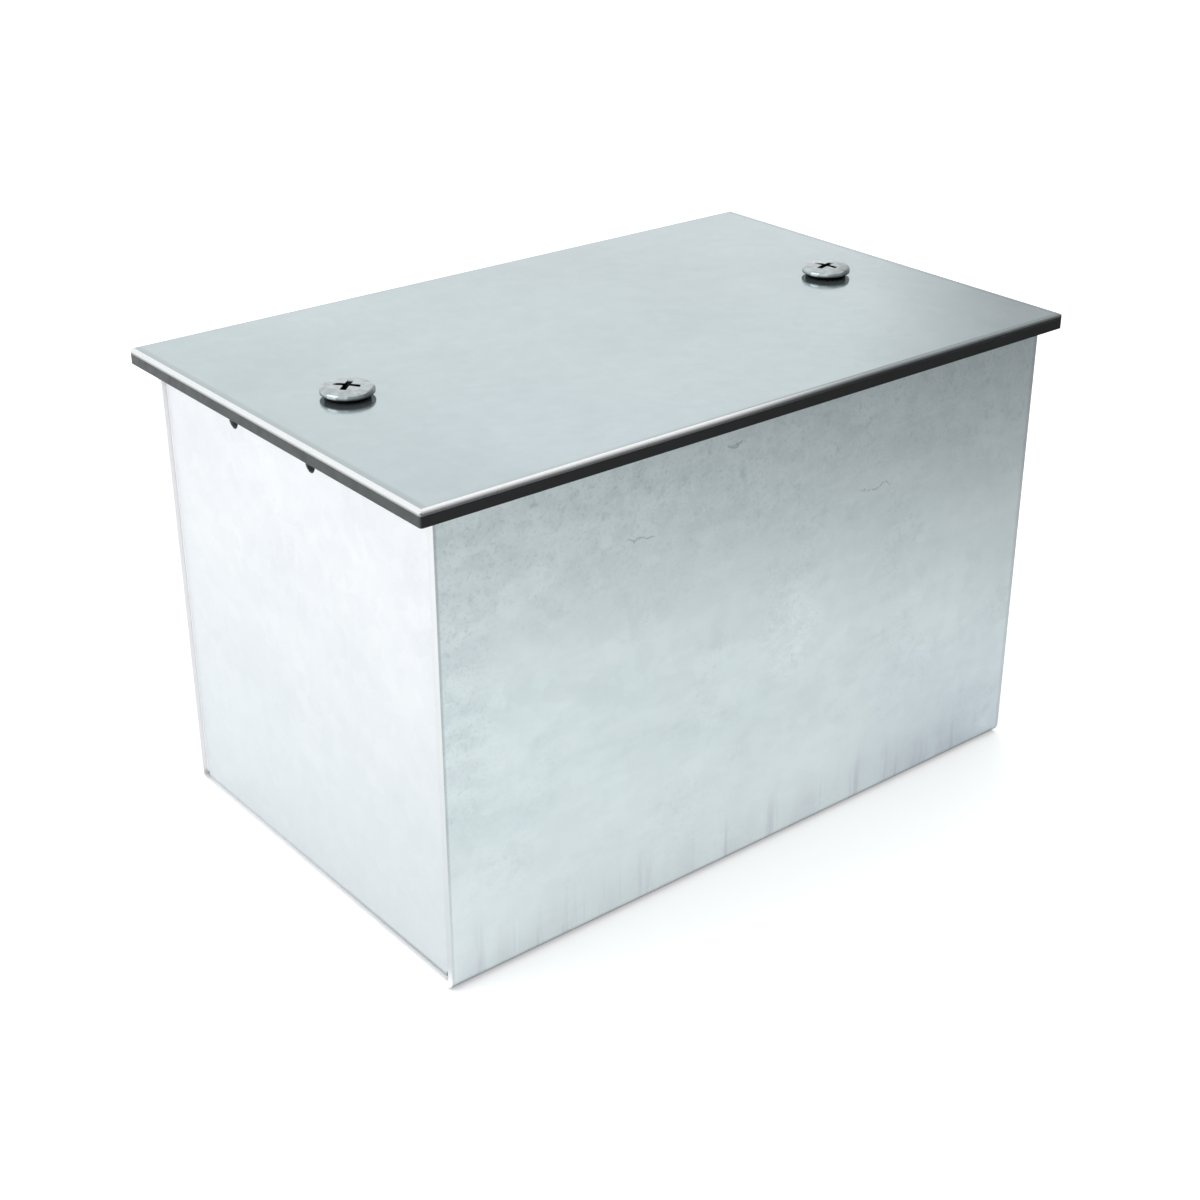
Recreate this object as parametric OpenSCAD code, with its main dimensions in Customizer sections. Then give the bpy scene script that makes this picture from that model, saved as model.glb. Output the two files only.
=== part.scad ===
// Galvanised sheet-steel junction box with a flat, gasketed, screw-down lid.
// The lower body is a folded channel closed by two folded end plates.
// X runs along the box, Y across it and Z up; the origin is under the middle of the base.

/* [Body] */
// Length of the body channel between its cut ends
body_l = 160; // [120:1:260]
// Width over the outside of the two long walls
body_w = 102; // [80:1:160]
// Height of the walls above the underside of the base
body_h = 102; // [60:1:160]
// Thickness of the body's sheet steel
sheet_t = 1.6; // [1:0.1:2.5]
// Inside radius of the two long folds under the body
bend_r = 0.8; // [0.4:0.1:2]

/* [End plates] */
// How far each end face sits back from the cut ends of the channel
end_recess = 0.7; // [0:0.1:3]
// Hairline gap between an end plate's sides and the long walls
side_gap = 0.1; // [0:0.05:0.4]
// Outside radius of the end plate's tight folds
plate_edge_r = 0.6; // [0.3:0.1:2]
// Inside radius of the end plate's tight folds
plate_bend_r = 0.2; // [0.2:0.1:0.6]
// Reach of the two side flanges that are welded to the long walls
flange_w = 12; // [8:0.5:20]
// Reach of the foot flange that is welded to the base
foot_w = 10; // [8:0.5:20]
// Clear space left at each bottom corner beyond the folds
corner_play = 0.5; // [0.2:0.1:2]

/* [Screw lugs] */
// Width of the lug folded in at the top of each end plate
lug_w = 25.6; // [16:0.2:40]
// Reach of the lug from the end face
lug_l = 24; // [20:0.5:36]
// Sideways offset of the lug from the middle of the end plate
lug_shift = 5.7; // [-6:0.1:6]
// Half width of the round-ended relief slot at each side of the lug
relief_r = 1.8; // [1:0.1:2.6]
// Depth of each relief slot below the top of the plate
relief_depth = 5.6; // [4:0.1:8]
// Depth of the drawn collar under the lug
collar_h = 2.2; // [1:0.1:4]
// Wall of the drawn collar
collar_wall = 1.2; // [0.8:0.1:2]

/* [Lid] */
// Overhang of the lid beyond the body at each end
lid_over_end = 4.3; // [1:0.1:8]
// Overhang of the lid beyond each long wall
lid_over_side = 2.9; // [1:0.1:8]
// Thickness of the lid's sheet steel
lid_t = 1.2; // [0.8:0.1:2]
// Plan radius of the lid's nearly square corners
lid_corner_r = 0.6; // [0.3:0.1:3]
// Rounding along the lid's upper edge
lid_edge_r = 1; // [0.3:0.1:1.1]
// Radial play of a lid screw in its hole in the lid
lid_hole_play = 0.4; // [0.2:0.1:1]

/* [Gasket] */
// Thickness of the rubber gasket
gasket_t = 2.2; // [1:0.1:4]
// Width of the gasket's two long bars
gasket_side_w = 13; // [8:0.5:20]
// Width of the gasket's two end bars
gasket_end_w = 32; // [28:0.5:44]
// Corner radius of the gasket's window
gasket_window_r = 6; // [2:0.5:12]
// Radial play of a lid screw in the gasket
gasket_hole_play = 0.2; // [0.1:0.1:1]

/* [Lid screws] */
// Distance of each lid screw from the nearer cut end of the channel
screw_inset = 15.9; // [12:0.1:17]
// Sideways offset of each lid screw, towards its lug's longer side
screw_shift = 1.1; // [-2:0.1:3]
// Nominal diameter of the lid screws
screw_d = 5; // [4:0.5:6]
// Length of the screw under its head
screw_l = 12; // [9:0.5:20]
// Diameter of the thin flat head
head_d = 11; // [9:0.1:14]
// Height of the head's upright rim
rim_h = 0.4; // [0.2:0.1:1]
// Rounding between the rim and the crown
head_round_r = 0.7; // [0.3:0.1:1.5]
// Rise of the crown above the rounded shoulder
crown_h = 0.3; // [0.1:0.05:0.8]
// Tip-to-tip span of the cross recess
cross_span = 6; // [3.5:0.1:7]
// Width of each arm of the cross recess
cross_arm_w = 1.3; // [0.6:0.1:1.6]
// Depth of the cross recess at its middle
cross_depth = 1.9; // [1:0.1:2.3]
// Radial play of the screw in its threaded lug and its washer
thread_play = 0.05; // [0.02:0.01:0.2]
// Outside diameter of the sealing washer under the head
seal_d = 9.2; // [8:0.1:12]
// Thickness of the sealing washer
seal_t = 0.9; // [0.5:0.1:2.5]

/* [Earth terminal] */
// Distance of the earth stud from the far cut end of the channel
earth_inset_x = 28; // [22:1:50]
// Distance of the earth stud from the outside of the nearer long wall
earth_inset_y = 19; // [12:1:40]
// Diameter of the earth stud
earth_d = 5; // [4:0.5:8]
// Height of the earth stud above the base
earth_l = 18; // [16:0.5:30]
// Radius of the weld collar beyond the stud
weld_rim = 1; // [0.5:0.1:2]
// Height of the weld collar round the stud's foot
weld_h = 0.8; // [0.4:0.1:1.5]
// Width across the flats of the earth nuts
nut_af = 8; // [8:0.5:13]
// Height of the earth nuts
nut_h = 4; // [3:0.1:5]
// Outside diameter of the plain washer
washer_d = 10; // [9:0.5:16]
// Thickness of the plain washer
washer_t = 1; // [0.6:0.1:1.6]
// Outside diameter of the split spring washer
spring_d = 9; // [8:0.5:14]
// Thickness of the split spring washer
spring_t = 1.2; // [0.8:0.1:2]
// Gap in the split spring washer, in degrees
spring_split = 12; // [6:1:25]
// Radial play of nuts and washers on the earth stud
earth_play = 0.05; // [0.02:0.01:0.2]

/* [Fixing holes] */
// Spacing of the fixing holes along the box
fix_dx = 120; // [80:1:130]
// Spacing of the fixing holes across the box
fix_dy = 60; // [40:1:70]
// Diameter of the fixing holes in the base
fix_d = 5.5; // [4:0.1:8]

/* [Hidden] */
$fn = 52;
eps = 0.01;
galvanised = "#b9c6cc";
lid_zinc = "#c6d3d3";
rubber = "#2b2d2f";
zinc_plate = "#d3d6d6";
brass = "#c9a44c";

plate_w = body_w - 2 * sheet_t - 2 * side_gap;
corner_relief = max(plate_edge_r, bend_r + side_gap) + corner_play;
end_face_x = body_l / 2 - end_recess;
screw_x = body_l / 2 - screw_inset;
screw_reach = end_face_x - screw_x;
screw_r = screw_d / 2;
thread_r = screw_r + thread_play;
collar_r = thread_r + collar_wall;

lid_l = body_l + 2 * lid_over_end;
lid_w = body_w + 2 * lid_over_side;
gasket_z = body_h;
lid_z = gasket_z + gasket_t;
seal_z = lid_z + lid_t;
head_z = seal_z + seal_t;

head_r = head_d / 2;
shoulder_h = rim_h + head_round_r;
head_h = shoulder_h + crown_h;
flat_r = head_r - head_round_r;
crown_sphere_r = (flat_r * flat_r + crown_h * crown_h) / (2 * crown_h);
tip_chamfer = 0.6;
cross_cone_tip_r = 0.4;

earth_x = body_l / 2 - earth_inset_x;
earth_y = body_w / 2 - earth_inset_y;
earth_r = earth_d / 2;
earth_z = sheet_t;
lower_nut_z = earth_z + weld_h;
washer_z = lower_nut_z + nut_h;
spring_z = washer_z + washer_t;
upper_nut_z = spring_z + spring_t;
nut_chamfer = 0.5;

// Rectangle standing on the X axis with its two lower corners rounded
module round_foot_block(width, height, r) {
    translate([-width / 2, r])
        square([width, height - r]);
    translate([-width / 2 + r, 0])
        square([width - 2 * r, height]);
    for (side = [-1, 1])
        translate([side * (width / 2 - r), r])
            circle(r = r);
}

// Section of a sheet folded up at both sides, open at the top
module u_section(width, height, t, outer_r, inner_r) {
    difference() {
        round_foot_block(width, height, outer_r);
        translate([0, t])
            round_foot_block(width - 2 * t, height, inner_r);
    }
}

// Rectangle in the first quadrant with its corner at the origin rounded
module round_corner_block(width, height, r) {
    translate([r, 0])
        square([width - r, height]);
    translate([0, r])
        square([width, height - r]);
    translate([r, r])
        circle(r = r);
}

// Section of a sheet with one fold: an upright leg and a foot that meet at the origin
module l_section(upright, foot, t, outer_r, inner_r) {
    difference() {
        round_corner_block(foot, upright, outer_r);
        translate([t, t])
            round_corner_block(foot, upright, inner_r);
    }
}

module rounded_rect(length, width, r) {
    square([length - 2 * r, width], center = true);
    square([length, width - 2 * r], center = true);
    for (sx = [-1, 1], sy = [-1, 1])
        translate([sx * (length / 2 - r), sy * (width / 2 - r)])
            circle(r = r);
}

// Section of the lid across one pair of edges, rounded along both upper edges
module round_top_section(width, thick, r) {
    translate([0, thick])
        mirror([0, 1])
            round_foot_block(width, thick, r);
}

// Flat sheet whose rounded upper edges meet in mitres at nearly square corners
module rounded_sheet(length, width, thick, corner_r, edge_r) {
    intersection() {
        linear_extrude(thick)
            rounded_rect(length, width, corner_r);
        rotate([90, 0, 0])
            linear_extrude(width, center = true)
                round_top_section(length, thick, edge_r);
        rotate([90, 0, 90])
            linear_extrude(length, center = true)
                round_top_section(width, thick, edge_r);
    }
}

module at_lid_screws() {
    for (side = [-1, 1])
        translate([side * screw_x, -side * screw_shift, 0])
            children();
}

module body_channel() {
    color(galvanised)
        difference() {
            rotate([90, 0, 90])
                linear_extrude(body_l, center = true)
                    u_section(body_w, body_h, sheet_t, sheet_t + bend_r, bend_r);
            fixing_holes();
        }
}

module fixing_holes() {
    for (sx = [-1, 1], sy = [-1, 1])
        translate([sx * fix_dx / 2, sy * fix_dy / 2, -eps])
            cylinder(d = fix_d, h = sheet_t + 2 * eps);
}

// End plate with its outer face on the plane x = 0 and its flanges reaching along +X
module end_plate() {
    difference() {
        union() {
            face_and_side_flanges();
            foot_flange();
            screw_lug();
        }
        lug_reliefs();
        translate([screw_reach, screw_shift, body_h - sheet_t - collar_h - eps])
            cylinder(r = thread_r, h = sheet_t + collar_h + 2 * eps);
    }
}

module face_and_side_flanges() {
    flange_z = sheet_t + corner_relief;
    difference() {
        translate([0, 0, flange_z])
            linear_extrude(body_h - flange_z)
                rotate(-90)
                    u_section(plate_w, flange_w, sheet_t, plate_edge_r, plate_bend_r);
        translate([-eps, lug_shift - lug_w / 2, body_h - plate_edge_r])
            cube([sheet_t + 2 * eps, lug_w, plate_edge_r + eps]);
    }
}

module foot_flange() {
    foot_span = plate_w - 2 * corner_relief;
    translate([0, 0, sheet_t])
        rotate([90, 0, 0])
            linear_extrude(foot_span, center = true)
                l_section(2 * corner_relief, foot_w, sheet_t, plate_edge_r, plate_bend_r);
}

module screw_lug() {
    translate([0, lug_shift, body_h])
        mirror([0, 0, 1])
            rotate([90, 0, 0])
                linear_extrude(lug_w, center = true)
                    l_section(2 * sheet_t, lug_l, sheet_t, plate_edge_r, plate_bend_r);
    translate([screw_reach, screw_shift, body_h - sheet_t - collar_h])
        cylinder(r = collar_r, h = collar_h + eps);
}

// Round-ended slots cut down from the top of the plate beside the lug
module lug_reliefs() {
    straight = relief_depth - relief_r;
    for (side = [-1, 1])
        translate([-eps, lug_shift + side * (lug_w / 2 + relief_r), body_h - straight]) {
            rotate([0, 90, 0])
                cylinder(r = relief_r, h = sheet_t + 2 * eps);
            translate([0, -relief_r, 0])
                cube([sheet_t + 2 * eps, 2 * relief_r, straight + eps]);
        }
}

module end_plate_left() {
    color(galvanised)
        translate([-end_face_x, 0, 0])
            end_plate();
}

module end_plate_right() {
    color(galvanised)
        rotate(180)
            translate([-end_face_x, 0, 0])
                end_plate();
}

module lid() {
    color(lid_zinc)
        translate([0, 0, lid_z])
            difference() {
                rounded_sheet(lid_l, lid_w, lid_t, lid_corner_r, lid_edge_r);
                at_lid_screws()
                    translate([0, 0, -eps])
                        cylinder(r = screw_r + lid_hole_play, h = lid_t + 2 * eps);
            }
}

module lid_gasket() {
    color(rubber)
        translate([0, 0, gasket_z])
            difference() {
                linear_extrude(gasket_t)
                    rounded_rect(lid_l, lid_w, lid_corner_r);
                translate([0, 0, -eps])
                    linear_extrude(gasket_t + 2 * eps)
                        rounded_rect(lid_l - 2 * gasket_end_w, lid_w - 2 * gasket_side_w, gasket_window_r);
                at_lid_screws()
                    translate([0, 0, -eps])
                        cylinder(r = screw_r + gasket_hole_play, h = gasket_t + 2 * eps);
            }
}

module seal_washer(side) {
    color(rubber)
        translate([side * screw_x, -side * screw_shift, seal_z])
            difference() {
                cylinder(d = seal_d, h = seal_t);
                translate([0, 0, -eps])
                    cylinder(r = thread_r, h = seal_t + 2 * eps);
            }
}

// Half section of the screw head: flat underside, short rim, rounded shoulder and low crown
module thin_head_section() {
    square([head_r, rim_h]);
    square([flat_r, shoulder_h]);
    translate([flat_r, rim_h])
        intersection() {
            circle(r = head_round_r);
            square(head_round_r);
        }
    intersection() {
        translate([0, head_h - crown_sphere_r])
            circle(r = crown_sphere_r, $fn = 128);
        square([flat_r, head_h]);
    }
}

module cross_recess() {
    intersection() {
        translate([0, 0, head_h - cross_depth])
            union() {
                for (turn = [0, 90])
                    rotate(turn)
                        translate([-head_r, -cross_arm_w / 2, 0])
                            cube([head_d, cross_arm_w, cross_depth + crown_h]);
            }
        translate([0, 0, head_h - cross_depth])
            cylinder(r1 = cross_cone_tip_r, r2 = cross_span / 2, h = cross_depth + eps);
    }
}

module screw_shank() {
    translate([0, 0, -screw_l])
        rotate_extrude()
            polygon([[0, 0], [screw_r - tip_chamfer, 0], [screw_r, tip_chamfer],
                     [screw_r, screw_l + eps], [0, screw_l + eps]]);
}

module lid_screw(side, turn) {
    color(zinc_plate)
        translate([side * screw_x, -side * screw_shift, head_z])
            rotate(turn)
                difference() {
                    union() {
                        rotate_extrude()
                            thin_head_section();
                        screw_shank();
                    }
                    cross_recess();
                }
}

module earth_stud() {
    color(zinc_plate)
        translate([earth_x, earth_y, earth_z])
            rotate_extrude()
                polygon([[0, 0], [earth_r + weld_rim, 0], [earth_r + weld_rim, weld_h], [earth_r, weld_h],
                         [earth_r, earth_l - tip_chamfer], [earth_r - tip_chamfer, earth_l], [0, earth_l]]);
}

// Hexagon nut with chamfered corners on both faces
module earth_nut(z, turn) {
    corner_r = nut_af / sqrt(3);
    flat = nut_af / 2;
    color(brass)
        translate([earth_x, earth_y, z])
            rotate(turn)
                difference() {
                    intersection() {
                        cylinder(r = corner_r, h = nut_h, $fn = 6);
                        rotate_extrude()
                            polygon([[0, 0], [flat, 0], [corner_r, nut_chamfer],
                                     [corner_r, nut_h - nut_chamfer], [flat, nut_h], [0, nut_h]]);
                    }
                    translate([0, 0, -eps])
                        cylinder(r = earth_r + earth_play, h = nut_h + 2 * eps);
                }
}

module earth_washer() {
    color(brass)
        translate([earth_x, earth_y, washer_z])
            difference() {
                cylinder(d = washer_d, h = washer_t);
                translate([0, 0, -eps])
                    cylinder(r = earth_r + earth_play, h = washer_t + 2 * eps);
            }
}

module earth_spring_washer() {
    inner = earth_r + earth_play;
    color(zinc_plate)
        translate([earth_x, earth_y, spring_z])
            rotate(spring_split / 2)
                rotate_extrude(angle = 360 - spring_split)
                    translate([inner, 0])
                        square([spring_d / 2 - inner, spring_t]);
}

body_channel();
end_plate_left();
end_plate_right();
lid();
lid_gasket();
seal_washer(-1);  // seal_washer_left
seal_washer(1);  // seal_washer_right
lid_screw(-1, 40);  // lid_screw_left
lid_screw(1, 12);  // lid_screw_right
earth_stud();
earth_nut(lower_nut_z, 10);  // earth_nut_lower
earth_washer();
earth_spring_washer();
earth_nut(upper_nut_z, 25);  // earth_nut_upper
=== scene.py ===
# Studio scene for the galvanised junction box: materials, light and camera around the fixed CAD model.
import math

import bpy
from mathutils import Matrix, Vector


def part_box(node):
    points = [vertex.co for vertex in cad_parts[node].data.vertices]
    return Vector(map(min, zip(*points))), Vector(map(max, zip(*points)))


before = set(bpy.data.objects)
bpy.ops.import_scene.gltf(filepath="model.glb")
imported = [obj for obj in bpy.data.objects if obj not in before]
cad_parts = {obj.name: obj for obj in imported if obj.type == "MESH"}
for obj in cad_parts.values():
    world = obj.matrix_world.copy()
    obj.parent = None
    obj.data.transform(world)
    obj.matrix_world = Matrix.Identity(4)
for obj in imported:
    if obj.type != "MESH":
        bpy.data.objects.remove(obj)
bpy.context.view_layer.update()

MM = 0.001
EVEN = (1, 1, 1)


def rgb(r, g, b):
    """An opaque linear colour."""
    return (r, g, b, 1.0)


# Node helpers

def set_range(node, low, high, to_low=0.0, to_high=1.0):
    """Sets a map range node to go from one level to another between low and high."""
    node.inputs["From Min"].default_value = low
    node.inputs["From Max"].default_value = high
    node.inputs["To Min"].default_value = to_low
    node.inputs["To Max"].default_value = to_high


class Tree:
    """A material's node tree, with short calls for the nodes in use. Lengths are in millimetres."""

    def __init__(self, name):
        self.material = bpy.data.materials.new(name)
        self.material.use_nodes = True
        self.nodes = self.material.node_tree.nodes
        self.links = self.material.node_tree.links
        self.nodes.clear()
        self.output = self.nodes.new("ShaderNodeOutputMaterial")
        self.shader = self.nodes.new("ShaderNodeBsdfPrincipled")
        self.links.new(self.shader.outputs["BSDF"], self.output.inputs["Surface"])
        self.coordinates = self.nodes.new("ShaderNodeTexCoord")

    def put(self, socket, value):
        """Links a socket's value, or sets a number or colour on the socket itself."""
        if isinstance(value, bpy.types.NodeSocket):
            self.links.new(value, socket)
        elif value is not None:
            socket.default_value = value

    def set(self, **values):
        """Puts values into the shader's own sockets, named with _ for a space."""
        for key, value in values.items():
            self.put(self.shader.inputs[key.replace("_", " ")], value)

    def place(self, stretch):
        """The position on the object, stretched."""
        mapping = self.nodes.new("ShaderNodeMapping")
        mapping.inputs["Scale"].default_value = [s / MM for s in stretch]
        self.links.new(self.coordinates.outputs["Object"], mapping.inputs["Vector"])
        return mapping.outputs["Vector"]

    def noise(self, size, detail=3.0, rough=0.5, stretch=EVEN, distortion=0.0, seed=0.0):
        """Noise with features of about the given size."""
        node = self.nodes.new("ShaderNodeTexNoise")
        node.noise_dimensions = "4D"
        self.links.new(self.place(stretch), node.inputs["Vector"])
        node.inputs["W"].default_value = seed
        node.inputs["Scale"].default_value = 1.0 / size
        node.inputs["Detail"].default_value = detail
        node.inputs["Roughness"].default_value = rough
        node.inputs["Distortion"].default_value = distortion
        return node.outputs["Fac"]

    def cells(self, size, seed=0.0):
        """A random value for each cell of about the given size."""
        node = self.nodes.new("ShaderNodeTexVoronoi")
        node.voronoi_dimensions = "4D"
        self.links.new(self.place(EVEN), node.inputs["Vector"])
        node.inputs["W"].default_value = seed
        node.inputs["Scale"].default_value = 1.0 / size
        split = self.nodes.new("ShaderNodeSeparateColor")
        self.links.new(node.outputs["Color"], split.inputs["Color"])
        return split.outputs["Red"]

    def math(self, operation, a, b=None, clamp=False):
        """A math node's result for numbers or sockets."""
        node = self.nodes.new("ShaderNodeMath")
        node.operation = operation
        node.use_clamp = clamp
        self.put(node.inputs[0], a)
        self.put(node.inputs[1], b)
        return node.outputs[0]

    def times(self, a, b):
        return self.math("MULTIPLY", a, b)

    def plus(self, a, b, clamp=False):
        return self.math("ADD", a, b, clamp)

    def minus(self, a, b):
        return self.math("SUBTRACT", a, b)

    def larger(self, a, b):
        return self.math("MAXIMUM", a, b)

    def absolute(self, a):
        return self.math("ABSOLUTE", a)

    def remap(self, value, low, high, to_low=0.0, to_high=1.0, smooth=True):
        """The value taken from low..high to to_low..to_high and held there beyond."""
        node = self.nodes.new("ShaderNodeMapRange")
        node.interpolation_type = "SMOOTHSTEP" if smooth else "LINEAR"
        node.clamp = True
        self.put(node.inputs["Value"], value)
        set_range(node, low, high, to_low, to_high)
        return node.outputs["Result"]

    def mix(self, fac, a, b):
        """The first colour where fac is 0, the second where it is 1."""
        node = self.nodes.new("ShaderNodeMix")
        node.data_type = "RGBA"
        self.put(node.inputs["Factor"], fac)
        self.put(node.inputs["A"], a)
        self.put(node.inputs["B"], b)
        return node.outputs["Result"]

    def stain(self, colour, mask, amount, tint):
        """The colour moved towards a tint where the mask is 1, by amount at most."""
        return self.mix(self.times(mask, amount), colour, tint)

    def bump(self, height, strength, distance, normal=None):
        """The surface's direction, tilted by a height."""
        node = self.nodes.new("ShaderNodeBump")
        node.inputs["Strength"].default_value = strength
        node.inputs["Distance"].default_value = distance * MM
        self.put(node.inputs["Height"], height)
        self.put(node.inputs["Normal"], normal)
        return node.outputs["Normal"]

    def rounded(self, radius):
        """The surface's direction with its edges softened to a radius."""
        node = self.nodes.new("ShaderNodeBevel")
        node.samples = 6
        node.inputs["Radius"].default_value = radius * MM
        return node.outputs["Normal"]

    def near(self, centre, radii, full):
        """1 within the full share of an ellipsoid's radii, 0 outside it."""
        away = self.nodes.new("ShaderNodeVectorMath")
        away.operation = "DISTANCE"
        self.links.new(self.place([1.0 / r for r in radii]), away.inputs[0])
        away.inputs[1].default_value = [c / r for c, r in zip(centre, radii)]
        return self.remap(away.outputs["Value"], full, 1.0, 1.0, 0.0)

    def part_of(self, vector, name):
        """The X, Y or Z of a vector."""
        split = self.nodes.new("ShaderNodeSeparateXYZ")
        self.links.new(vector, split.inputs["Vector"])
        return split.outputs[name]

    def facing(self, name):
        """One part of the surface's own direction."""
        geometry = self.nodes.new("ShaderNodeNewGeometry")
        return self.part_of(geometry.outputs["True Normal"], name)

    def faces_along(self, name):
        """1 where the surface faces either way along an axis."""
        return self.remap(self.absolute(self.facing(name)), 0.7, 0.9)

    def axis(self, name):
        """One part of the position on the object, in metres."""
        return self.part_of(self.coordinates.outputs["Object"], name)

    def along(self, name, start, end, at_start=0.0, at_end=1.0, smooth=True):
        """A value that goes from one level to another between two places on an axis."""
        return self.remap(self.axis(name), start * MM, end * MM, at_start, at_end, smooth)

    def outwards(self, name, start, end, at_start=0.0, at_end=1.0):
        """The same between two distances from the middle, on both sides."""
        return self.remap(self.absolute(self.axis(name)), start * MM, end * MM, at_start, at_end)


# Places on the object, in millimetres

FRONT_WALL_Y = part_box("body_channel")[0][1] / MM
HEAD_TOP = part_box("lid_screw_left")[1][2] / MM
SCREW_X, SCREW_Y = 64.1, 1.1
# Where the screws' painted shade sits, in the driver sockets and below the head's edge
SOCKETS = [(side * SCREW_X, -side * SCREW_Y, HEAD_TOP) for side in (-1, 1)]
SOCKET_DEPTHS = (0.2, 0.35)
SOCKET_REACH = (3.2, 3.2, 50)
HEAD_FOOT = (HEAD_TOP - 1.0, HEAD_TOP - 1.3)
FOOT_TO_TOP = (4, 100)
RIM_SIDES_MEET = (30.2, 30.6)
PATCH_MIDDLE = (8.4, FRONT_WALL_Y, 50.0)
PATCH_RADII = (13, 4, 16)
WALL_MARKS = [(31.4, 77.6, 11.0, 0.2, -0.1), (-9.0, 97.6, 6.0, 0.2, -0.2), (-33.0, 84.2, 8.0, 0.25, -0.25)]

# Sizes of what clouds the zinc, in millimetres

CLOUD_SIZE, BLOTCH_SIZE, GRAIN_SIZE = 38.0, 7.0, 0.55
SPANGLE_SIZE, PATCHES_SIZE, WAVE_SIZE = 3.4, 17.0, 52.0

# Where stains, bare metal and painted light and shade fade in or out on an axis, in millimetres

# Painted shade: a darker band along the top of the long walls, stronger to the right
TOP_SHADE_Z, TOP_SHADE_X = (58, 100), (-60, 70)
LEFT_FLECKS_Z, LEFT_FLECKS_X = (14, 62), (-60, -78)
# Painted light on the left of the wall's foot, and painted bluish shade on its right
FOOT_LIGHT_Z, FOOT_LIGHT_X = (40, 6), (20, 74)
FOOT_SHADE_Z, FOOT_SHADE_X = (44, 8), (14, 66)
RUNS_Z = (2, 17)
# Painted shade towards the lid's ends and beside its rim
LID_RIGHT_X, LID_LEFT_X = (-40, 40), (-44, -76)
LID_EDGE_X, LID_EDGE_Y = (81.4, 83.2), (52.0, 52.9)
WALL_LEFT_X, WALL_RIGHT_X = (-79.2, -79.75), (78.6, 79.4)
# Painted shade along the end plate's seams with the base and the front wall
PLATE_FOOT_Z, PLATE_FOOT_Y, PLATE_SIDE_Y = (2.9, 2.2), (20, -44), (-48.5, -48.9)
# Cut edges and ledges at the channel's ends; near white at the rear, painted light over the seam's shade
LEDGE_X, LEDGE_Y, LEDGE_Z = (77.6, 77.9), (50.1, 50.0), (0.9, 1.0)
CUT_FOOT_Z, CUT_REAR_Y = (1.6, 6.0), (49.2, 49.3)
# Where the rim's painted highlight and painted dark reflection darken towards the near right corner
RIM_CORNER_X, RIM_CORNER_Y = (-24, 34), (-20, -50)
# The end plate's margin painted near white, painted light over the fold's shade
MARGIN_Y = (48.4, 48.7)

# Stains, bare metal and painted light and shade: colours

SPANGLE_GREY = rgb(0.30, 0.34, 0.38)
# Painted shade along the top of the long walls
TOP_SHADE_GREY = rgb(0.30, 0.36, 0.38)
FLECK_GREY = rgb(0.33, 0.38, 0.41)
MOTTLE_GREY = rgb(0.30, 0.36, 0.39)
MOTTLE_PALE = rgb(0.92, 0.97, 0.98)
PATCH_PALE = rgb(0.86, 0.94, 0.92)
VEIN_GREY = rgb(0.30, 0.36, 0.37)
SCRATCH_GREY = rgb(0.15, 0.19, 0.20)
# Dark lines; on the lid and end plates they are painted shade
LINE_AND_SHADE_GREY = rgb(0.24, 0.27, 0.27)
# Painted light and painted bluish shade on the wall's foot
FOOT_LIGHT_PALE = rgb(0.90, 0.95, 0.96)
FOOT_SHADE_BLUE = rgb(0.44, 0.49, 0.58)
RUN_GREY = rgb(0.36, 0.34, 0.43)
# Painted shadow along the wall's foot
FOLD_SHADOW_DARK = rgb(0.05, 0.05, 0.055)
# Painted near white: painted light over the shade of the seams at the rear
PAINTED_WHITE = rgb(0.93, 0.93, 0.94)
CUT_LOW, CUT_HIGH = rgb(0.62, 0.66, 0.675), rgb(0.76, 0.765, 0.775)
# The lid rim's painted highlight and painted dark reflection
RIM_HIGHLIGHT = rgb(0.95, 0.96, 0.965)
RIM_HIGHLIGHT_END = rgb(0.76, 0.78, 0.785)
RIM_HIGHLIGHT_CORNER = rgb(0.40, 0.44, 0.45)
RIM_DARK_REFLECTION = rgb(0.13, 0.135, 0.14)
RIM_DARK_REFLECTION_END = rgb(0.34, 0.35, 0.355)
RIM_DARK_REFLECTION_CORNER = rgb(0.035, 0.04, 0.045)
# Painted shade below the screw heads' edge and in their driver sockets
HEAD_FOOT_SHADE = rgb(0.06, 0.055, 0.055)
SOCKET_SHADE = rgb(0.012, 0.014, 0.016)

# Stains, bare metal and painted light and shade: how much of each shows

SPANGLE_SHARE = 0.045
SCRATCH_SHARE = 0.42
# How much the dark lines and painted shade lines show
LINE_AND_SHADE_SHARE = 0.42
# How much painted shade the end plates take towards the foot
END_FOOT_SHADE_SHARE = 0.6
PATCH_SHARE, VEIN_SHARE = 0.34, 0.22
# How much painted light and painted bluish shade the wall's foot takes
FOOT_LIGHT_SHARE, FOOT_SHADE_SHARE = 0.42, 0.30
# How dark the painted shadow along the wall's foot is
FOLD_SHADOW_SHARE = 0.86
# How dark the painted shade below the screw heads is
HEAD_FOOT_SHADE_SHARE = 0.8
ZINC_METAL = 0.92
# How metallic the painted near white is
PAINTED_WHITE_METAL = 0.2

# The tilt at which the rim reaches its painted highlight, along its sides and at its ends

RIM_TILT, RIM_TILT_END = 0.72, 0.34


# Stains, lines and painted shade on the zinc; each returns a mask or the changed colour

def speckle(t, mask, seed):
    """Fine dull flecks, some in loose chains, inside a mask."""
    fine = t.remap(t.noise(0.85, detail=3.0, rough=0.65, distortion=0.6, seed=seed), 0.51, 0.66)
    coarse = t.remap(t.noise(2.6, detail=2.0, rough=0.6, seed=seed + 1.0), 0.58, 0.70)
    both = t.plus(t.times(fine, 0.6), t.times(coarse, 0.5), clamp=True)
    return t.times(both, mask)


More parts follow.
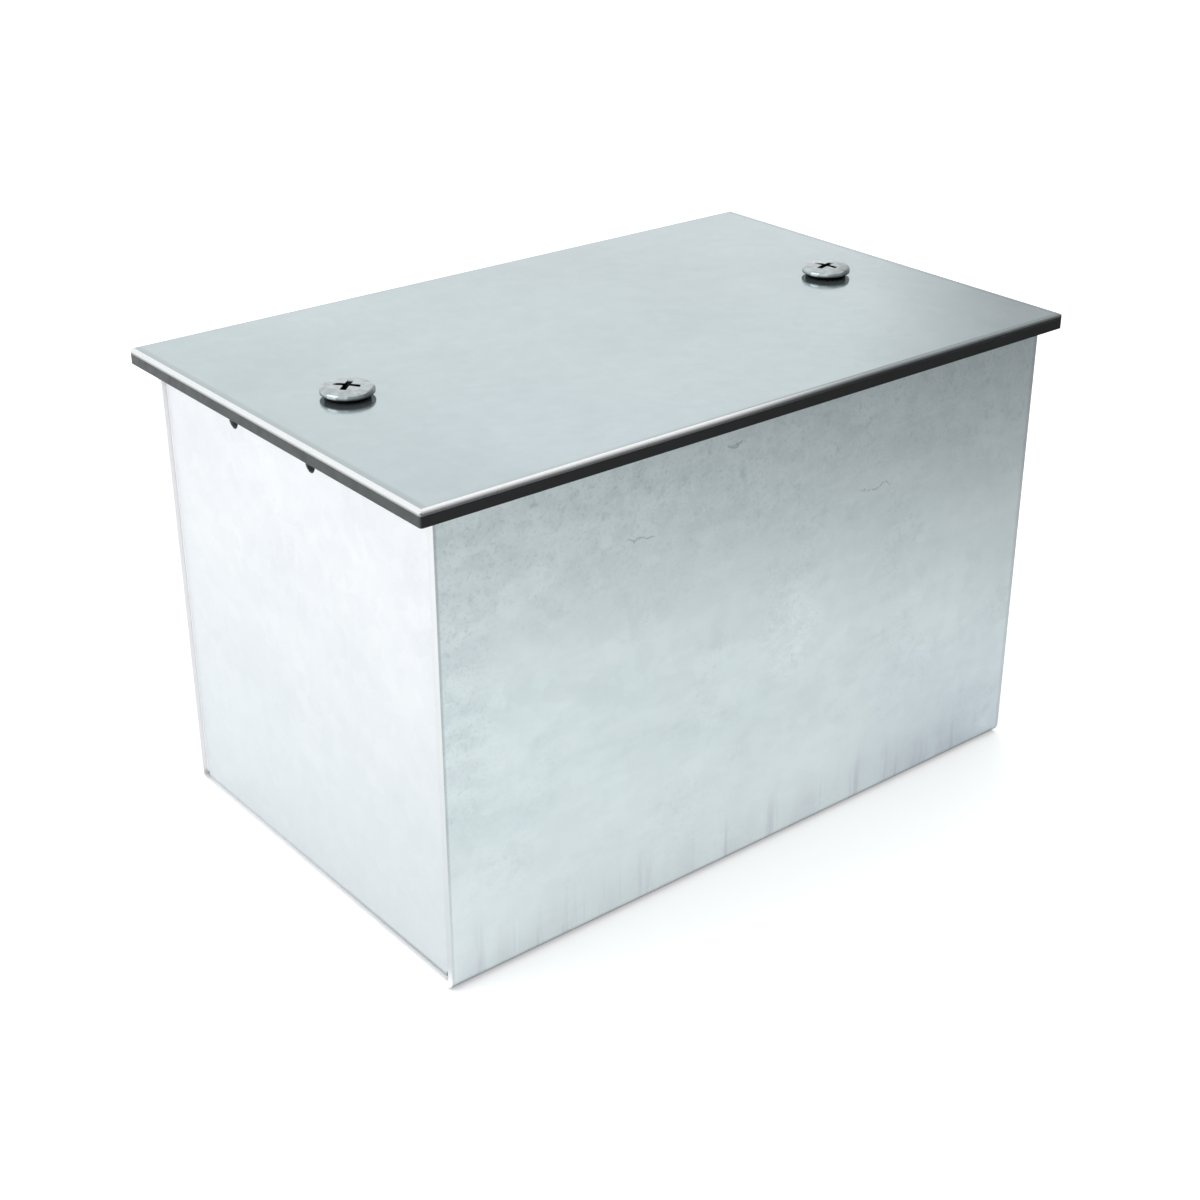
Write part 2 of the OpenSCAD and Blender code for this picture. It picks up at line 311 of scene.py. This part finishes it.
def squiggles(t, marks, seed):
    """Short wavy scratches on the front wall, given by middle, length, height of wave and slope."""
    wave_radians, wobble_height, half_line, faded_line = 8.0, 4.0, 0.08, 0.36
    wobble = t.minus(t.noise(2.4, detail=2.0, seed=seed), 0.5)
    drawn = 0.0
    for x, z, length, wave, slope in marks:
        along = t.minus(t.math("DIVIDE", t.axis("X"), MM), x)
        up = t.minus(t.math("DIVIDE", t.axis("Z"), MM), z)
        curve = t.times(t.math("SINE", t.times(along, wave_radians / length)), wave)
        curve = t.plus(curve, t.times(along, slope))
        curve = t.plus(curve, t.times(wobble, wobble_height))
        line = t.remap(t.absolute(t.minus(up, curve)), half_line, faded_line, 1.0, 0.0)
        window = t.near((x, FRONT_WALL_Y, z), (length / 2, 3, 4), 0.7)
        drawn = t.larger(t.times(line, window), drawn)
    broken = t.remap(t.noise(1.3, detail=2.0, seed=seed + 1.0), 0.36, 0.56)
    return t.times(drawn, broken)


def crackled_patch(t, colour, seed):
    """A pale patch on the front wall, mottled by fine darker veins."""
    torn = t.remap(t.noise(3.2, detail=4.0, rough=0.65, distortion=0.6, seed=seed), 0.38, 0.6)
    ragged = t.times(t.near(PATCH_MIDDLE, PATCH_RADII, 0.3), torn)
    crackle = t.minus(t.noise(2.2, detail=3.0, distortion=0.8, seed=seed + 1.0), 0.5)
    veins = t.remap(t.absolute(crackle), 0.0, 0.03, 1.0, 0.0)
    colour = t.stain(colour, ragged, PATCH_SHARE, PATCH_PALE)
    return t.stain(colour, t.times(veins, ragged), VEIN_SHARE, VEIN_GREY)


def foot_light_shade_runs(t, colour, amount, seed):
    """The wall's foot: painted light to the left, painted bluish shade to the right, with dull runs down
    to the fold.
    """
    lit_left = t.times(t.along("Z", *FOOT_LIGHT_Z), t.along("X", *FOOT_LIGHT_X, 1.0, 0.0))
    colour = t.stain(colour, lit_left, FOOT_LIGHT_SHARE, FOOT_LIGHT_PALE)
    shaded_right = t.times(t.along("Z", *FOOT_SHADE_Z), t.along("X", *FOOT_SHADE_X))
    colour = t.stain(colour, shaded_right, FOOT_SHADE_SHARE, FOOT_SHADE_BLUE)
    thin = t.remap(t.noise(2.0, detail=2.0, stretch=(1, 1, 0.08), seed=seed), 0.53, 0.74)
    soft = t.remap(t.noise(7.0, detail=1.5, stretch=(1, 1, 0.14), seed=seed + 1.0), 0.40, 0.64)
    runs = t.plus(t.times(thin, 0.7), t.times(soft, 0.35), clamp=True)
    return t.stain(colour, t.times(runs, t.along("Z", *RUNS_Z, 1.0, 0.0)), amount, RUN_GREY)


def mottled(t, colour, patches, amount, seed):
    """Soft dark mottling inside patches, and wider pale streaks everywhere."""
    soft = t.noise(4.2, detail=4.0, rough=0.66, stretch=(0.7, 1, 1), distortion=0.7, seed=seed)
    soft = t.remap(soft, 0.40, 0.62)
    streak = t.noise(9.0, detail=3.0, rough=0.6, stretch=(0.4, 1, 1.6), distortion=0.5, seed=seed + 1.0)
    streak = t.remap(streak, 0.44, 0.62)
    colour = t.stain(colour, t.times(soft, patches), amount, MOTTLE_GREY)
    return t.stain(colour, streak, 0.5 * amount, MOTTLE_PALE)


def lid_shade_lines(t):
    """Painted shade: the lid a little darker towards both ends, and along a soft line beside its rim."""
    ends = t.larger(t.along("X", *LID_RIGHT_X, 0.0, 0.2), t.along("X", *LID_LEFT_X, 0.0, 0.17))
    beside = t.larger(t.outwards("X", *LID_EDGE_X, 0.0, 0.85), t.outwards("Y", *LID_EDGE_Y, 0.0, 0.4))
    return t.larger(ends, beside)


def wall_lines(t):
    """Thin darker lines down the walls' outer faces at both ends."""
    end = t.larger(t.along("X", *WALL_LEFT_X), t.along("X", *WALL_RIGHT_X, 0.0, 0.5))
    return t.times(end, t.faces_along("Y"))


def plate_seam_shade(t):
    """Painted shade where the end plate meets the base, thicker to the front, and a trace up the front
    wall.
    """
    low = t.along("Z", *PLATE_FOOT_Z)
    side = t.along("Y", *PLATE_SIDE_Y, 0.0, 0.4)
    return t.larger(t.times(low, t.along("Y", *PLATE_FOOT_Y, 0.15, 1.0)), side)


def painted_fold_shadow(t):
    """Painted shadow on the lower half of the folds along the foot."""
    down = t.facing("Z")
    return t.times(t.remap(down, -0.15, -0.84), t.remap(down, -0.985, -0.93))


# Bare metal, painted highlights, painted reflections and painted light; each returns a mask, a colour and
# how metallic it is

def cut_ends(t):
    """The bright strips round each open end of the channel: its cut edges and the ledge by the plate,
    darker towards the foot but near white along the very foot; along the rear wall they are painted near
    white, painted light over the seam's shade.
    """
    end = t.outwards("X", *LEDGE_X)
    inside = t.outwards("Y", *LEDGE_Y)
    above = t.along("Z", *LEDGE_Z)
    mask = t.larger(t.faces_along("X"), t.times(end, t.times(inside, above)))
    white = t.larger(t.along("Z", *CUT_FOOT_Z, 1.0, 0.0), t.along("Y", *CUT_REAR_Y))
    tone = t.mix(t.along("Z", *FOOT_TO_TOP, smooth=False), CUT_LOW, CUT_HIGH)
    return mask, t.mix(white, tone, PAINTED_WHITE), t.remap(white, 0.0, 1.0, 0.88, 0.25)


def rolled_rim(t):
    """The lid's rounded rim, its tones painted: a painted highlight where its upper edge rounds over and a
    painted dark reflection towards the gasket; at the ends the highlight is dimmer and the dark reflection
    lighter, and near the right corner both are darker.
    """
    tilt = t.absolute(t.facing("Z"))
    beyond = t.minus(t.absolute(t.axis("X")), t.absolute(t.axis("Y")))
    end = t.remap(beyond, *[side * MM for side in RIM_SIDES_MEET])
    corner = t.times(t.along("X", *RIM_CORNER_X), t.along("Y", *RIM_CORNER_Y))
    # Painted highlight above, painted dark reflection below, both darker near the right corner
    upper = t.mix(corner, t.mix(end, RIM_HIGHLIGHT, RIM_HIGHLIGHT_END), RIM_HIGHLIGHT_CORNER)
    lower = t.mix(corner, t.mix(end, RIM_DARK_REFLECTION, RIM_DARK_REFLECTION_END), RIM_DARK_REFLECTION_CORNER)
    height = t.mix(end, t.remap(tilt, 0.0, RIM_TILT), t.remap(tilt, 0.0, RIM_TILT_END))
    return t.remap(tilt, 0.995, 0.9), t.mix(height, lower, upper), t.remap(corner, 0.0, 0.6, 0.5, 0.92)


def painted_light_margin(t):
    """The end plate's margin, where it folds back inside the rear wall, painted near white: painted light
    over the fold's shade.
    """
    return t.along("Y", *MARGIN_Y), PAINTED_WHITE, PAINTED_WHITE_METAL


# Materials

def galvanised(name, pale, dull, rough, seed, edge=0.35, fleck=0.5, grain_height=0.03, painted_top_shade=0.0,
               mottle=0.0, painted_foot_shade=None, patch=None, marks=(), lines=None, runs=0.0, fold=None,
               bare=None, bare_rough=None):
    """Hot-dip galvanised sheet: clouded zinc, faint spangle, flecks, and what stains, painted light and
    painted shade a piece has.
    """
    t = Tree(name)
    wide = t.noise(CLOUD_SIZE, detail=3.0, rough=0.5, stretch=(1, 1, 1.7), distortion=0.4, seed=seed)
    blotch = t.noise(BLOTCH_SIZE, detail=5.0, rough=0.62, distortion=0.3, seed=seed + 1.0)
    grain = t.noise(GRAIN_SIZE, detail=2.0, rough=0.6, seed=seed + 2.0)
    clouds = t.plus(t.times(t.remap(wide, 0.36, 0.64), 0.55), t.times(t.remap(blotch, 0.32, 0.68), 0.45))
    colour = t.mix(clouds, dull, pale)
    spangle = t.cells(SPANGLE_SIZE, seed=seed + 3.0)
    colour = t.stain(colour, spangle, SPANGLE_SHARE, SPANGLE_GREY)
    patches = t.remap(t.noise(PATCHES_SIZE, detail=2.0, seed=seed + 4.0), 0.44, 0.66)
    # Painted shade: a darker band along the top of the walls, which also gathers more dull flecks
    if painted_top_shade:
        high = t.times(t.along("Z", *TOP_SHADE_Z), t.remap(blotch, 0.25, 0.62, 0.45, 1.0))
        toned = t.times(high, t.along("X", *TOP_SHADE_X, 0.85, 1.5))
        colour = t.stain(colour, toned, painted_top_shade, TOP_SHADE_GREY)
        beside = t.times(t.along("X", *LEFT_FLECKS_X, 0.0, 0.8), t.along("Z", *LEFT_FLECKS_Z))
        patches = t.larger(t.times(patches, 0.45), t.larger(high, beside))
    colour = t.stain(colour, speckle(t, patches, seed + 5.0), fleck, FLECK_GREY)
    if mottle:
        colour = mottled(t, colour, patches, mottle, seed + 12.0)
    # Painted shade: the end plates darker towards the foot
    if painted_foot_shade:
        colour = t.stain(colour, t.along("Z", *FOOT_TO_TOP, 1.0, 0.0, smooth=False), END_FOOT_SHADE_SHARE, painted_foot_shade)
    if patch:
        colour = patch(t, colour, seed + 14.0)
    if marks:
        colour = t.stain(colour, squiggles(t, marks, seed + 11.0), SCRATCH_SHARE, SCRATCH_GREY)
    # Dark lines; on the lid and end plates they are painted shade
    if lines:
        colour = t.stain(colour, lines(t), LINE_AND_SHADE_SHARE, LINE_AND_SHADE_GREY)
    # The foot's painted light and painted bluish shade, and dull runs
    if runs:
        colour = foot_light_shade_runs(t, colour, runs, seed + 7.0)
    # Painted shadow along the folds at the foot
    if fold:
        colour = t.stain(colour, fold(t), FOLD_SHADOW_SHARE, FOLD_SHADOW_DARK)
    wander = t.plus(t.times(t.minus(blotch, 0.5), 0.2), t.times(t.minus(spangle, 0.5), 0.05))
    roughness = t.plus(wander, rough, clamp=True)
    metal = ZINC_METAL
    # Bare metal, with the rim's painted highlight and reflection and the painted near white of cut edges
    # and margin
    if bare:
        cut, bare_colour, bare_metal = bare(t)
        colour = t.mix(cut, colour, bare_colour)
        metal = t.plus(t.times(cut, t.minus(bare_metal, metal)), metal)
        if bare_rough:
            roughness = t.plus(t.times(cut, bare_rough - rough), roughness, clamp=True)
    t.set(Base_Color=colour, Roughness=roughness, Metallic=metal)
    waves = t.bump(t.noise(WAVE_SIZE, detail=1.0, seed=seed + 9.0), 0.2, 0.9, t.rounded(edge))
    t.set(Normal=t.bump(grain, 0.1, grain_height, waves))
    return t.material


def rubber(name, base, seed, rough, gloss, ends=None):
    """Black rubber with fine pores; the faces across the box's ends can be painted greyer, as painted
    light.
    """
    t = Tree(name)
    mottling = t.noise(2.2, detail=4.0, seed=seed)
    pores = t.noise(0.25, detail=2.0, seed=seed + 1.0)
    lighter = rgb(*[min(1.0, c * 1.9) for c in base])
    colour = t.mix(t.remap(mottling, 0.35, 0.72), rgb(*base), lighter)
    if ends:
        # Painted light: the faces across the box's ends greyer
        colour = t.mix(t.remap(t.absolute(t.facing("X")), 0.6, 0.8), colour, ends)
    t.set(Base_Color=colour, Roughness=t.remap(mottling, 0.3, 0.7, rough - 0.08, rough + 0.1))
    t.set(Specular_IOR_Level=gloss)
    t.set(Normal=t.bump(pores, 0.3, 0.06, t.rounded(0.2)))
    return t.material


def plated(name, base, seed, rough, sockets=(), shaded_foot=None):
    """Bright plate with a faint brushed bloom, and painted shade in driver sockets and below a head's
    edge.
    """
    t = Tree(name)
    bloom = t.noise(1.4, detail=4.0, seed=seed)
    fine = t.noise(0.12, detail=2.0, seed=seed + 1.0)
    darker = rgb(*[c * 0.72 for c in base])
    colour = t.mix(t.remap(bloom, 0.3, 0.72), rgb(*base), darker)
    # Painted shade below the head's edge
    if shaded_foot:
        colour = t.stain(colour, t.along("Z", *shaded_foot), HEAD_FOOT_SHADE_SHARE, HEAD_FOOT_SHADE)
    # Painted shade in the driver sockets
    for x, y, top in sockets:
        below = t.along("Z", *[top - depth for depth in SOCKET_DEPTHS])
        inside = t.near((x, y, top), SOCKET_REACH, 0.9)
        colour = t.mix(t.times(below, inside), colour, SOCKET_SHADE)
    t.set(Base_Color=colour, Roughness=t.remap(bloom, 0.3, 0.7, rough - 0.05, rough + 0.12))
    t.set(Metallic=1.0)
    t.set(Normal=t.bump(fine, 0.12, 0.02, t.rounded(0.15)))
    return t.material


LOOKS = {
    # The wall's top band, foot tones and fold line are painted light and shade
    "body_channel": galvanised(
        "wall_zinc", pale=rgb(0.735, 0.825, 0.835), dull=rgb(0.67, 0.755, 0.765), rough=0.40, seed=1.0,
        fleck=0.48, painted_top_shade=0.15, mottle=0.2, patch=crackled_patch, marks=WALL_MARKS, lines=wall_lines,
        runs=0.36, fold=painted_fold_shadow, bare=cut_ends),
    # End plates: painted shade towards the foot and along the seams, painted light on the folded margin
    "end_plate_left": galvanised(
        "end_zinc", pale=rgb(0.815, 0.825, 0.84), dull=rgb(0.74, 0.76, 0.78), rough=0.45, seed=21.0,
        fleck=0.12, painted_foot_shade=rgb(0.60, 0.66, 0.675), lines=plate_seam_shade, bare=painted_light_margin),
    "end_plate_right": galvanised(
        "far_end_zinc", pale=rgb(0.79, 0.82, 0.84), dull=rgb(0.70, 0.745, 0.77), rough=0.45, seed=31.0,
        fleck=0.2, painted_foot_shade=rgb(0.58, 0.655, 0.68), lines=plate_seam_shade, bare=painted_light_margin),
    # The lid's darker ends and rim line are painted shade; its rim carries a painted highlight and a
    # painted dark reflection
    "lid": galvanised(
        "lid_zinc", pale=rgb(0.56, 0.648, 0.675), dull=rgb(0.515, 0.60, 0.625), rough=0.13, seed=41.0,
        edge=0.15, fleck=0.12, grain_height=0.01, lines=lid_shade_lines, bare=rolled_rim, bare_rough=0.3),
    # The gasket's greyer ends are painted light
    "lid_gasket": rubber("gasket_rubber", (0.003, 0.0035, 0.004), seed=3.0, rough=0.4, gloss=0.3,
                         ends=rgb(0.046, 0.054, 0.054)),
    "seal_washer_left": rubber("seal_rubber", (0.0015, 0.0015, 0.002), seed=5.0, rough=0.5, gloss=0.05),
    # The screws' dark sockets and head foot are painted shade
    "lid_screw_left": plated("screw_zinc", (0.55, 0.61, 0.62), seed=6.0, rough=0.1, sockets=SOCKETS,
                             shaded_foot=HEAD_FOOT),
    "earth_stud": plated("stud_zinc", (0.66, 0.68, 0.68), seed=7.0, rough=0.3),
    "earth_nut_lower": plated("terminal_brass", (0.74, 0.55, 0.24), seed=8.0, rough=0.28),
    "earth_spring_washer": plated("spring_zinc", (0.55, 0.57, 0.58), seed=9.0, rough=0.32),
}
SAME_AS = {
    "seal_washer_right": "seal_washer_left",
    "lid_screw_right": "lid_screw_left",
    "earth_nut_upper": "earth_nut_lower",
    "earth_washer": "earth_nut_lower",
}
for node_name, node_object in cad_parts.items():
    look = LOOKS[SAME_AS.get(node_name, node_name)]
    for material_slot in node_object.material_slots:
        material_slot.material = look


# Floor, world and lamps, in metres

WHITE = rgb(1.0, 1.0, 1.0)
FLOOR_REACH = 4.0
FLOOR_COLOUR = rgb(0.86, 0.87, 0.88)
FLOOR_GLOW = 0.20
FLOOR_SEEN_GLOW = 0.34

# The surroundings grow dark towards one side for all but the camera, and the floor for what metal mirrors.
DARK_SIDE = Vector((0.75, -0.66, 0.0)).normalized()
FLOOR_FADE = (0.06, 0.36)
FLOOR_DARK = 0.30
WORLD_STOPS = [(0.0, 1.0), (0.09, 1.0), (0.16, 0.56), (0.22, 0.52), (0.9, 0.38)]
WORLD_HIGH = (0.60, 0.74)

# A darker card on the right, in the same surroundings and the same mirrored floor.
CARD_SIDE = Vector((0.906, -0.423, 0.0)).normalized()
CARD_FLOOR = (0.27, 0.40)
CARD_FLOOR_LEVEL = 0.28
CARD_WORLD = (0.78, 0.91)
CARD_WORLD_LEVEL = 0.62


def shader_tree(tree, *kinds):
    """The cleared tree's new nodes of the given kinds, in order."""
    tree.nodes.clear()
    return [tree.nodes.new(kind) for kind in kinds]


def along_side(tree, vector, side, reach, levels):
    """A value that goes smoothly between two levels as the vector reaches towards one side."""
    along = tree.nodes.new("ShaderNodeVectorMath")
    along.operation = "DOT_PRODUCT"
    tree.links.new(vector, along.inputs[0])
    along.inputs[1].default_value = side
    fade = tree.nodes.new("ShaderNodeMapRange")
    fade.interpolation_type = "SMOOTHSTEP"
    tree.links.new(along.outputs["Value"], fade.inputs["Value"])
    set_range(fade, *reach, *levels)
    return fade.outputs["Result"]


def studio_floor():
    """A pale floor that reads white beyond the box's shadow, and that metal sees fade on one side."""
    mesh = bpy.data.meshes.new("floor")
    corners = [(x * FLOOR_REACH, y * FLOOR_REACH, 0) for x, y in ((-1, -1), (1, -1), (1, 1), (-1, 1))]
    mesh.from_pydata(corners, [], [(0, 1, 2, 3)])
    floor = bpy.data.objects.new("floor", mesh)
    bpy.context.scene.collection.objects.link(floor)
    material = bpy.data.materials.new("pale_floor")
    material.use_nodes = True
    tree = material.node_tree
    links = tree.links
    output, place, path, matt, glow, both, seen_glow, seen = shader_tree(
        tree, "ShaderNodeOutputMaterial", "ShaderNodeTexCoord", "ShaderNodeLightPath",
        "ShaderNodeBsdfDiffuse", "ShaderNodeEmission", "ShaderNodeAddShader", "ShaderNodeEmission",
        "ShaderNodeAddShader")
    darker = tree.nodes.new("ShaderNodeMath")
    dark = tree.nodes.new("ShaderNodeEmission")
    dim, metal, lit = [tree.nodes.new("ShaderNodeMixShader") for _ in range(3)]
    matt.inputs["Color"].default_value = FLOOR_COLOUR
    glow.inputs["Strength"].default_value = FLOOR_GLOW
    seen_glow.inputs["Strength"].default_value = FLOOR_SEEN_GLOW
    dark.inputs["Strength"].default_value = 0.0
    links.new(matt.outputs[0], both.inputs[0])
    links.new(glow.outputs[0], both.inputs[1])
    links.new(matt.outputs[0], seen.inputs[0])
    links.new(seen_glow.outputs[0], seen.inputs[1])
    darker.operation = "MAXIMUM"
    spot = place.outputs["Object"]
    dark_side = along_side(tree, spot, DARK_SIDE, FLOOR_FADE, (0.0, 1.0 - FLOOR_DARK))
    card = along_side(tree, spot, CARD_SIDE, CARD_FLOOR, (0.0, 1.0 - CARD_FLOOR_LEVEL))
    links.new(dark_side, darker.inputs[0])
    links.new(card, darker.inputs[1])
    links.new(darker.outputs["Value"], dim.inputs[0])
    links.new(both.outputs[0], dim.inputs[1])
    links.new(dark.outputs[0], dim.inputs[2])
    links.new(path.outputs["Is Glossy Ray"], metal.inputs[0])
    links.new(matt.outputs[0], metal.inputs[1])
    links.new(dim.outputs[0], metal.inputs[2])
    links.new(path.outputs["Is Camera Ray"], lit.inputs[0])
    links.new(metal.outputs[0], lit.inputs[1])
    links.new(seen.outputs[0], lit.inputs[2])
    links.new(lit.outputs[0], output.inputs["Surface"])
    mesh.materials.append(material)


def studio_world():
    """White behind, above and left of the box, grey on its front right; plain white for the camera."""
    world = bpy.data.worlds.new("studio")
    bpy.context.scene.world = world
    world.use_nodes = True
    tree = world.node_tree
    links = tree.links
    output, light, white, path, choose, spot, along, ramp, height, high, lift = shader_tree(
        tree, "ShaderNodeOutputWorld", "ShaderNodeBackground", "ShaderNodeBackground",
        "ShaderNodeLightPath", "ShaderNodeMixShader", "ShaderNodeTexCoord", "ShaderNodeVectorMath",
        "ShaderNodeValToRGB", "ShaderNodeSeparateXYZ", "ShaderNodeMapRange", "ShaderNodeMix")
    direction = spot.outputs["Generated"]
    along.operation = "DOT_PRODUCT"
    links.new(direction, along.inputs[0])
    along.inputs[1].default_value = DARK_SIDE
    links.new(along.outputs["Value"], ramp.inputs["Fac"])
    points = ramp.color_ramp.elements
    while len(points) < len(WORLD_STOPS):
        points.new(0.5)
    for point, (place, level) in zip(points, WORLD_STOPS):
        point.position = place
        point.color = rgb(level, level, level)
    links.new(direction, height.inputs["Vector"])
    links.new(height.outputs["Z"], high.inputs["Value"])
    set_range(high, *WORLD_HIGH)
    lift.data_type = "RGBA"
    links.new(high.outputs["Result"], lift.inputs["Factor"])
    links.new(ramp.outputs["Color"], lift.inputs["A"])
    lift.inputs["B"].default_value = WHITE
    links.new(lift.outputs["Result"], light.inputs["Color"])
    card = along_side(tree, direction, CARD_SIDE, CARD_WORLD, (1.0, CARD_WORLD_LEVEL))
    links.new(card, light.inputs["Strength"])
    white.inputs["Color"].default_value = WHITE
    links.new(path.outputs["Is Camera Ray"], choose.inputs[0])
    links.new(light.outputs[0], choose.inputs[1])
    links.new(white.outputs[0], choose.inputs[2])
    links.new(choose.outputs[0], output.inputs["Surface"])


def softbox(name, place, aim, size, power, mirrored=True):
    """A square lamp; metal doesn't mirror it where mirrored is false."""
    data = bpy.data.lights.new(name, "AREA")
    data.shape = "RECTANGLE"
    data.size = data.size_y = size
    data.energy = power
    lamp = bpy.data.objects.new(name, data)
    bpy.context.scene.collection.objects.link(lamp)
    lamp.visible_glossy = mirrored
    lamp.location = place
    lamp.rotation_euler = (Vector(aim) - Vector(place)).to_track_quat("-Z", "Y").to_euler()


studio_floor()
studio_world()
softbox("left_softbox", (-1.1, 0.25, 0.75), aim=(0.0, 0.0, 0.05), size=0.9, power=4.0)
softbox("top_softbox", (0.2, 0.5, 1.5), aim=(0.0, 0.0, 0.0), size=1.4, power=6.0, mirrored=False)


# Camera, from the photograph's straight edges

CAMERA_PLACE = Vector((-249.04, -308.15, 239.37)) * MM
CAMERA_LOOK = Vector((0.55928, 0.69773, -0.44763))
CAMERA_ROLL = math.radians(0.121)
FOCAL_PX = 1944.38
PHOTO_PX = 1200.0
SENSOR_MM = 36.0
CLIP_START, CLIP_END = 0.01, 20.0


def camera():
    """The photograph's camera."""
    data = bpy.data.cameras.new("photo_camera")
    data.sensor_fit = "HORIZONTAL"
    data.sensor_width = SENSOR_MM
    data.lens = FOCAL_PX / PHOTO_PX * SENSOR_MM
    data.clip_start = CLIP_START
    data.clip_end = CLIP_END
    camera_object = bpy.data.objects.new("photo_camera", data)
    bpy.context.scene.collection.objects.link(camera_object)
    turn = CAMERA_LOOK.normalized().to_track_quat("-Z", "Y").to_matrix().to_4x4()
    roll = Matrix.Rotation(-CAMERA_ROLL, 4, "Z")
    camera_object.matrix_world = Matrix.Translation(CAMERA_PLACE) @ turn @ roll
    bpy.context.scene.camera = camera_object


camera()
bpy.context.scene.view_settings.view_transform = "Standard"
